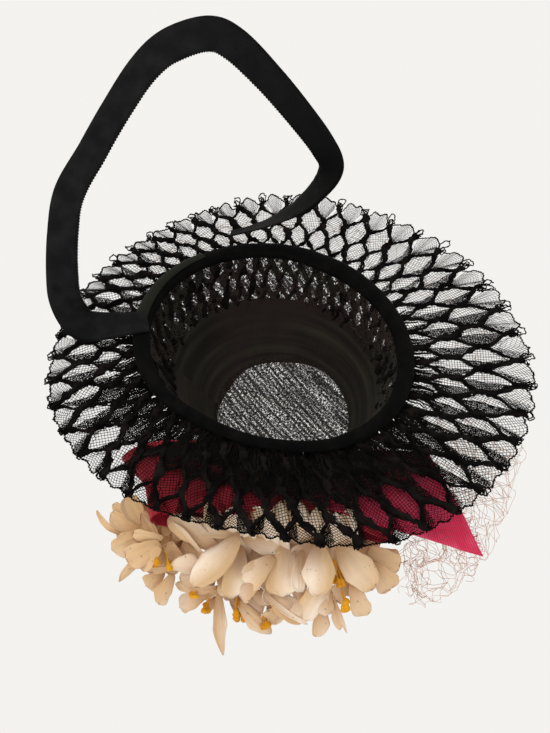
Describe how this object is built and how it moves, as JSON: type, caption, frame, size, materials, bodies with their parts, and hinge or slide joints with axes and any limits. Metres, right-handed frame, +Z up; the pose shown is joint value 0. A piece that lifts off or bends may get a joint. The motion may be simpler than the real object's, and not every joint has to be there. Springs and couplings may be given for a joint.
{
  "type": "tilt hat",
  "caption": "Small shallow mesh crown with a wide smocked net brim, ribbon head strap, crimson bow, cream cloth flowers and a scrap of veil.",
  "frame": {"origin": "centre of the head opening, at mid height of its band", "axes": "+Z up through the crown as worn, -Y the front with the bow and flowers, +X the wearer's left"},
  "size_m": [0.3035, 0.3245, 0.2739],
  "materials": {
    "net_black": "fine black net smocked into ropes, dull",
    "grosgrain_black": "ribbed black ribbon with a low sheen",
    "crown_mesh_black": "stiff open weave, see-through against light",
    "crimson_ribbon": "ribbed crimson ribbon, faded and frayed at its cut end",
    "petal_cream": "starched cream cloth with fine veins, tan shadows and age specks",
    "stamen_yellow": "waxed yellow thread tips",
    "straw_tan": "dry straw and wrapped wire",
    "veil_brown": "thin brown thread in a coarse open mesh"
  },
  "bodies": {
    "root": {"head_band": "grosgrain_black", "crown": "crown_mesh_black", "crown_band": "crimson_ribbon", "brim": "net_black", "strap": "grosgrain_black", "bow_knot": "crimson_ribbon", "bow_tail_right": "crimson_ribbon", "bow_loop_left": "crimson_ribbon", "bow_loop_right": "crimson_ribbon", "bow_tail_left": "crimson_ribbon", "stems": "straw_tan", "flower_1": "petal_cream", "flower_2": "petal_cream", "flower_3": "petal_cream", "flower_4": "petal_cream", "flower_5": "petal_cream", "flower_6": "petal_cream", "flower_7": "petal_cream", "flower_8": "petal_cream", "stamens_1": "stamen_yellow", "stamens_2": "stamen_yellow", "stamens_3": "stamen_yellow", "stamens_4": "stamen_yellow", "stamens_5": "stamen_yellow", "veil": "veil_brown"}
  },
  "joints": []
}
